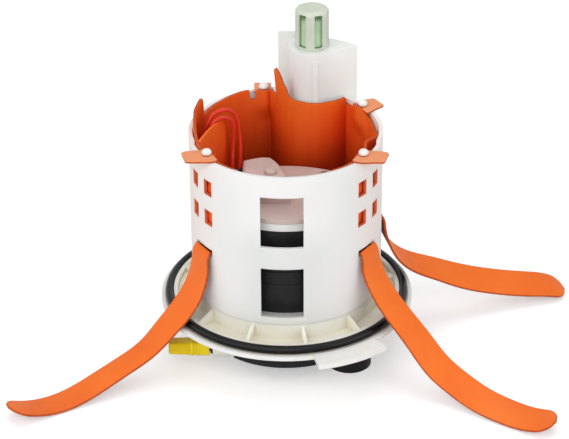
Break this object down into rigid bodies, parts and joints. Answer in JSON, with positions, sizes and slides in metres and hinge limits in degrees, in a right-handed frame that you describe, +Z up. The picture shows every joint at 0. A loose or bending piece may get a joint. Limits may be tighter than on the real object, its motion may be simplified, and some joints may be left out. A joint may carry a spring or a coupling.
{
  "type": "diesel exhaust fluid pump",
  "caption": "Tank-bottom diesel exhaust fluid module: sealed round flange, open pot with heater mat, heater arms, pump unit, float vent and a capped outlet below.",
  "frame": {"origin": "on the pot's axis, in the upper face of the flange plate", "axes": "+Z up into the tank along the pot's axis, -Y towards the front windows, outlet pipe along -X"},
  "size_m": [0.3567, 0.1948, 0.2103],
  "materials": {
    "flange_cream": "satin",
    "seal_rubber": "gloss",
    "pot_white": "satin",
    "heater_silicone": "satin",
    "lead_jacket": "satin",
    "rivet_white": "satin",
    "unit_black": "satin",
    "ring_white": "satin",
    "cover_beige": "satin",
    "screw_steel": "satin",
    "grommet_rubber": "matt",
    "motor_steel": "satin",
    "magnet_dark": "matt",
    "gear_plastic": "satin",
    "filter_paper": "matt",
    "tower_white": "satin",
    "cage_clear": "satin",
    "float_green": "satin",
    "board_green": "satin",
    "pin_brass": "polished",
    "cap_yellow": "satin"
  },
  "bodies": {
    "module": {"flange_plate": "flange_cream", "flange_seal": "seal_rubber", "reservoir_pot": "pot_white", "heater_mat": "heater_silicone", "lead_patch": "heater_silicone", "mat_rivets": "rivet_white", "heater_lead_inner": "lead_jacket", "heater_lead_outer": "lead_jacket", "pump_housing": "unit_black", "filter_ring": "ring_white", "pump_cover": "cover_beige", "cover_screws": "screw_steel", "lead_grommets": "grommet_rubber", "motor_can": "motor_steel", "motor_stator": "magnet_dark", "pump_body": "gear_plastic", "pump_lid": "gear_plastic", "filter_element": "filter_paper", "vent_tower": "tower_white", "vent_cage": "cage_clear", "under_cover": "unit_black", "control_board": "board_green", "level_sensor": "unit_black", "sensor_socket": "unit_black", "connector_shell": "unit_black", "connector_pins": "pin_brass", "pot_screws": "screw_steel", "under_screws": "screw_steel", "outlet_nipple": "unit_black"},
    "rotor": {"motor_rotor": "motor_steel"},
    "driven_gear": {"driven_gear": "gear_plastic"},
    "float": {"vent_float": "float_green"},
    "cap": {"outlet_cap": "cap_yellow"},
    "arm_left": {"arm_left": "heater_silicone"},
    "arm_right": {"arm_right": "heater_silicone"},
    "arm_rear": {"arm_rear": "heater_silicone"}
  },
  "joints": [
    {"name": "rotor_spin", "type": "hinge", "parent": "module", "child": "rotor", "pos_m": [0, -0.016, 0.02], "axis": [0, 0, 1], "continuous": true},
    {"name": "driven_spin", "type": "hinge", "parent": "module", "child": "driven_gear", "pos_m": [0, 0.0005, 0.02], "axis": [0, 0, 1], "continuous": true},
    {"name": "float_rise", "type": "slide", "parent": "module", "child": "float", "axis": [0, 0, 1], "range_m": [0, 0.0032]},
    {"name": "cap_pull", "type": "slide", "parent": "module", "child": "cap", "axis": [-1, 0, 0], "range_m": [0, 0.016]},
    {"name": "arm_left_fold", "type": "hinge", "parent": "module", "child": "arm_left", "pos_m": [-0.05167, -0.03317, 0.0488], "axis": [-0.5402, 0.8415, 0], "range_deg": [0, 95]},
    {"name": "arm_right_fold", "type": "hinge", "parent": "module", "child": "arm_right", "pos_m": [0.05167, -0.03317, 0.0488], "axis": [-0.5402, -0.8415, 0], "range_deg": [0, 95]},
    {"name": "arm_rear_fold", "type": "hinge", "parent": "module", "child": "arm_rear", "pos_m": [0.05902, 0.01692, 0.0488], "axis": [0.2756, -0.9613, 0], "range_deg": [0, 95]}
  ],
  "couplings": [
    {"joint": "driven_spin", "follows": "rotor_spin", "ratio": -1}
  ]
}
